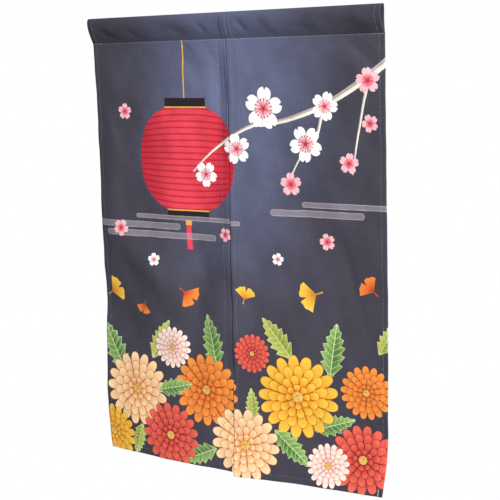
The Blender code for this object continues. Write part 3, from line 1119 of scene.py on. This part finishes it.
def twisted_thread_material():
    """Light and dark bands round the thread, plies round it and twists along each stitch; the dark is painted
    shade in the grooves.
    """
    material, tree, shader = start_material("two_ply_polyester_thread")
    around, along, _ = add(tree, "UVMap", uv_map="OFBake").parts()
    lightness = (along * THREAD_TWISTS + around * THREAD_PLIES).folded(0.5).ramp(0.0, 0.5)
    # Painted shade: the thread darkens in the grooves between its plies, where the bump sinks it.
    ink = lightness.mix(THREAD_GROOVE_PAINTED_SHADE, THREAD_LIGHT)
    finish_shader(shader, ink, lightness, PLY_BUMP, PLY_HEIGHT, THREAD_ROUGHNESS)
    return material


thread = twisted_thread_material()


def stitch_capsules(starts, ends, radius, outward):
    """The points of capsules from starts to ends: rings that arch outwards and narrow at both ends."""
    lean = ends - starts
    lean = lean / np.linalg.norm(lean, axis=1, keepdims=True)
    facing = np.broadcast_to(np.array([0.0, outward, 0.0]), lean.shape)
    facing = facing - lean * np.sum(facing * lean, axis=1, keepdims=True)
    facing = facing / np.linalg.norm(facing, axis=1, keepdims=True)
    aside = np.cross(lean, facing)
    turn = np.linspace(0.0, 2.0 * np.pi, STITCH_SIDES, endpoint=False)
    share = CAPSULE_PLACES[None, :, None]
    arch = STITCH_ARCH * np.sin(np.pi * CAPSULE_PLACES) - STITCH_SINK
    middle = starts[:, None, :] * (1.0 - share) + ends[:, None, :] * share
    middle = middle + facing[:, None, :] * arch[None, :, None]
    around = (
        aside[:, None, None, :] * np.cos(turn)[None, None, :, None]
        + facing[:, None, None, :] * np.sin(turn)[None, None, :, None]
    )
    return middle[:, :, None, :] + around * radius * CAPSULE_WIDTHS[None, :, None, None]


def stitched_object(name, capsules):
    """Joins capsules of rings into one mesh, each closed by a face at both ends.

    The map holds each point's share of the way round and along its stitch, the same on every stitch.
    """
    points = np.concatenate(capsules)
    count, rings, sides = points.shape[:3]
    index = np.arange(count * rings * sides).reshape(count, rings, sides)
    ahead = np.roll(index, -1, axis=2)
    bands = np.stack([index[:, :-1], index[:, 1:], ahead[:, 1:], ahead[:, :-1]], axis=-1)
    faces = bands.reshape(-1, 4).tolist() + index[:, 0].tolist() + index[:, -1, ::-1].tolist()
    side = np.arange(sides) / sides
    around = np.stack([side, side, side + 1.0 / sides, side + 1.0 / sides], axis=-1)[None, :, :]
    near, far = CAPSULE_PLACES[:-1], CAPSULE_PLACES[1:]
    along = np.stack([near, far, far, near], axis=-1)[:, None, :]
    band_map = np.stack(np.broadcast_arrays(around, along), axis=-1).reshape(-1, 2)
    cap_map = 0.5 + CAP_SPREAD * np.stack([np.cos(2.0 * np.pi * side), np.sin(2.0 * np.pi * side)], axis=-1)
    stitch_map = [np.tile(corners, (count, 1)) for corners in (band_map, cap_map, cap_map[::-1])]
    stitches = mesh_piece(name, points, faces, stitch_map, thread)
    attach(stitches, "root")
    return stitches


def lockstitches(length):
    """Where the stitches of a seam of some length start and where they end, along it."""
    starts = np.arange(STITCH_PITCH, length - STITCH_PITCH, STITCH_PITCH)
    return [starts, starts + STITCH_LENGTH]


def panel_stitches(panel):
    """Seams down both upright hems, along the foot hem and under the sleeve, and the locked outer ends.

    A line is two places across and two down, where its stitches start and end, and the thread's radius.
    """
    width = panel.right.across - panel.left.across
    left_line = panel.left.across + panel.left.hem - STITCH_INSET
    right_line = panel.right.across - panel.right.hem + STITCH_INSET
    foot_line = PANEL_HEIGHT - FOOT_HEM + STITCH_INSET
    downwards = lockstitches(PANEL_HEIGHT)
    sideways = [panel.left.across + along for along in lockstitches(width)]
    outer = max(panel.left, panel.right, key=lambda edge: abs(edge.across))
    outer_line = max(left_line, right_line, key=abs)
    inward = -np.sign(outer.across)
    sewn_back = [outer.across + inward * along for along in lockstitches(SEWN_BACK_LENGTH)]
    bar_starts = np.arange(BAR_START, BAR_START + BAR_LENGTH, BAR_PITCH)
    bars_across = [outer_line - BAR_HALF_WIDTH, outer_line + BAR_HALF_WIDTH]
    bars_down = [PANEL_HEIGHT - bar_starts, PANEL_HEIGHT - bar_starts - BAR_PITCH / 2]
    lines = (
        ([left_line] * 2, downwards, THREAD_RADIUS),
        ([right_line] * 2, downwards, THREAD_RADIUS),
        (sideways, [SLEEVE_SEAM_BELOW] * 2, THREAD_RADIUS),
        (sideways, [foot_line] * 2, THREAD_RADIUS),
        (sewn_back, [SLEEVE_SEAM_BELOW - SEWN_BACK_ASIDE] * 2, THREAD_RADIUS),
        (sewn_back, [SLEEVE_SEAM_BELOW + SEWN_BACK_ASIDE] * 2, THREAD_RADIUS),
        (bars_across, bars_down, BAR_RADIUS),
    )
    capsules = []
    for across, down, radius in lines:
        before = [panel_front(panel, across[end], down[end] / PANEL_HEIGHT) for end in (0, 1)]
        thick = [CLOTH_THICK + HEM_EXTRA * in_hems(panel, across[end], down[end]) for end in (0, 1)]
        behind = [place + deep[:, None] * np.array([0.0, 1.0, 0.0]) for place, deep in zip(before, thick)]
        capsules.append(stitch_capsules(*before, radius, -1.0))
        capsules.append(stitch_capsules(*behind, radius, 1.0))
    return stitched_object("stitching_" + panel.node, capsules)


def heading_stitches():
    """The hems at the sleeve's two ends, and the short hems over the slit, on the front and the back."""
    turns = [np.arcsin(np.sqrt(down / SLEEVE_DROP)) for down in lockstitches(SLEEVE_DROP)]
    capsules = []
    for side in (1.0, -1.0):
        for across in SLEEVE_SEAMS:
            places = [sleeve_place(2.0 * across / WIDTH, side * turn, 0.0) for turn in turns]
            capsules.append(stitch_capsules(*places, THREAD_RADIUS, -side))
    return stitched_object("stitching_heading", capsules)


left_stitches = panel_stitches(PANELS[0])
right_stitches = panel_stitches(PANELS[1])
seam_stitches = heading_stitches()


# The room: white light from all round, a soft lamp at the front's right, one behind, and a pale floor.
WORLD_WHITE = (1.0, 1.0, 1.0, 1.0)
WORLD_STRENGTH = 0.20
LAMP_AIM = (0.0, 0.0, -0.55)
Lamp = namedtuple("Lamp", "name place size power")
LAMPS = (
    Lamp("window_light", (4.7, -3.0, 2.6), 1.3, 680.0),
    Lamp("back_light", (-3.4, 3.6, -0.6), 2.2, 420.0),
)
FLOOR_DROP = 0.70
FLOOR_RADIUS = 1.15
FLOOR_SIDES = 96
FLOOR_COLOUR = "#f4f4f2"
FLOOR_ROUGHNESS = 0.9

world = bpy.data.worlds.new("white_room")
bpy.context.scene.world = world
world.use_nodes = True
world_tree = world.node_tree
world_tree.nodes.clear()
seen_directly = add(world_tree, "LightPath")
strength = seen_directly.ramp(0.0, 1.0, WORLD_STRENGTH, 1.0)
white = add(world_tree, "Background", WORLD_WHITE, strength)
white.link(world_tree.nodes.new("ShaderNodeOutputWorld").inputs["Surface"])

for lamp in LAMPS:
    lamp_data = bpy.data.lights.new(lamp.name, "AREA")
    lamp_data.energy = lamp.power
    lamp_data.size = lamp.size
    stand = bpy.data.objects.new(lamp.name, lamp_data)
    stand.location = lamp.place
    stand.rotation_euler = (Vector(lamp.place) - Vector(LAMP_AIM)).to_track_quat("Z", "Y").to_euler()
    bpy.context.scene.collection.objects.link(stand)

floor_paint, _, floor_shader = start_material("matt_white_floor_paint")
floor_shader.inputs["Base Color"].default_value = linear_colour(FLOOR_COLOUR)
floor_shader.inputs["Roughness"].default_value = FLOOR_ROUGHNESS
floor_turn = np.linspace(0.0, 2.0 * np.pi, FLOOR_SIDES, endpoint=False)
floor_points = np.stack(
    [
        FLOOR_RADIUS * np.cos(floor_turn),
        FLOOR_RADIUS * np.sin(floor_turn),
        np.full(floor_turn.shape, -LENGTH - FLOOR_DROP),
    ],
    axis=-1,
)
floor_mesh = bpy.data.meshes.new("floor")
floor_mesh.from_pydata(floor_points.tolist(), [], [list(range(len(floor_points)))])
floor_mesh.materials.append(floor_paint)
floor = bpy.data.objects.new("floor", floor_mesh)
bpy.context.scene.collection.objects.link(floor)

bpy.context.scene.view_settings.view_transform = "Standard"
